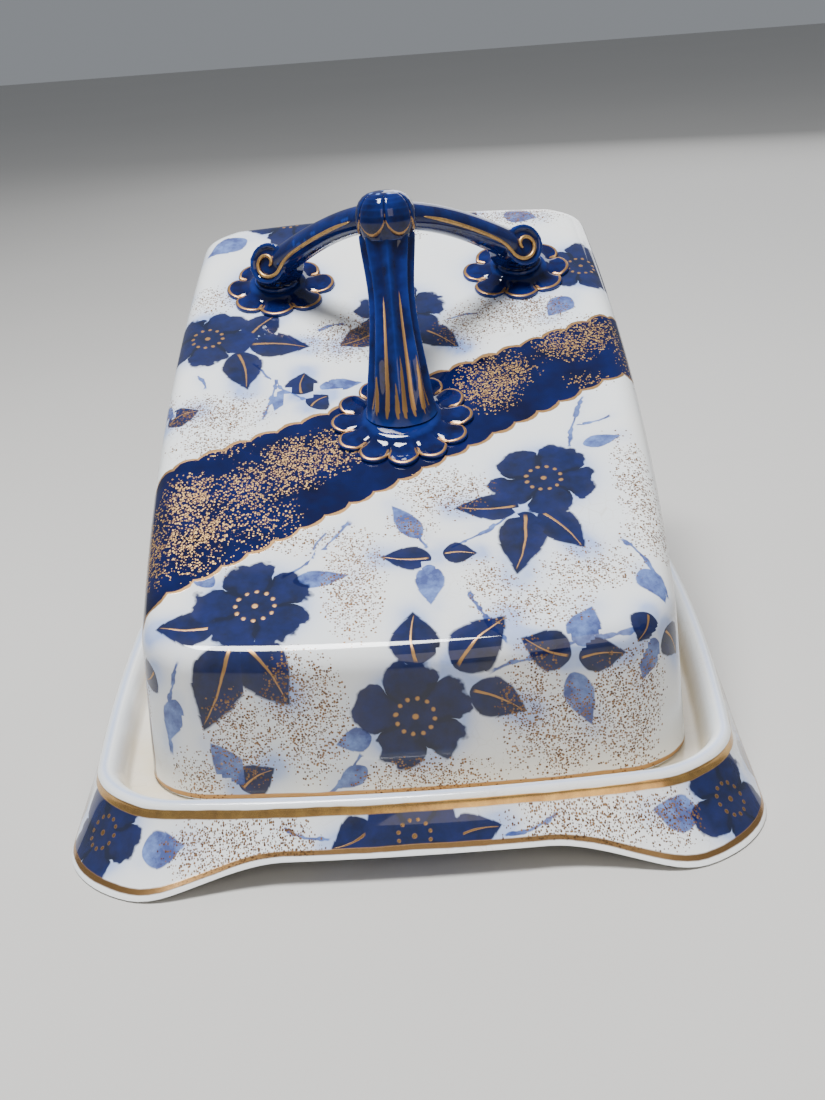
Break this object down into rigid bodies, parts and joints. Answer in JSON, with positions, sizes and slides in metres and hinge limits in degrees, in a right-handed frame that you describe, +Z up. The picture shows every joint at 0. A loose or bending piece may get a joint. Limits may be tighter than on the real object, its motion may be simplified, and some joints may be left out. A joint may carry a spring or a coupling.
{
  "type": "butter dish",
  "caption": "Slant-topped covered butter dish: a footed dish with a sunk well and a loose wedge-shaped cover that lifts off by a tripod handle.",
  "frame": {"origin": "on the table, under the middle of the dish", "axes": "+Z up, -Y towards the low front of the cover, +X to the right when seen from that front"},
  "size_m": [0.1918, 0.2748, 0.156],
  "materials": {
    "dish_glaze": "white earthenware under a clear gloss glaze, with cobalt flowers and stippled gilding on the apron",
    "cover_glaze": "white earthenware under a clear gloss glaze, with flowing cobalt flower sprays, a scalloped cobalt band and stippled gilding",
    "cobalt_glaze": "deep cobalt under a clear gloss glaze, with gilded lines",
    "gilding": "soft burnished gold line, a little worn"
  },
  "bodies": {
    "dish": {"dish": "dish_glaze"},
    "cover": {"cover_shell": "cover_glaze", "front_rosette": "cobalt_glaze", "left_rosette": "cobalt_glaze", "right_rosette": "cobalt_glaze", "handle_front_leg": "cobalt_glaze", "handle_crown": "cobalt_glaze", "handle_left_arm": "cobalt_glaze", "handle_right_arm": "cobalt_glaze"}
  },
  "joints": [
    {"name": "cover_lift", "type": "slide", "parent": "dish", "child": "cover", "axis": [0, 0, 1], "range_m": [0, 0.16]}
  ]
}
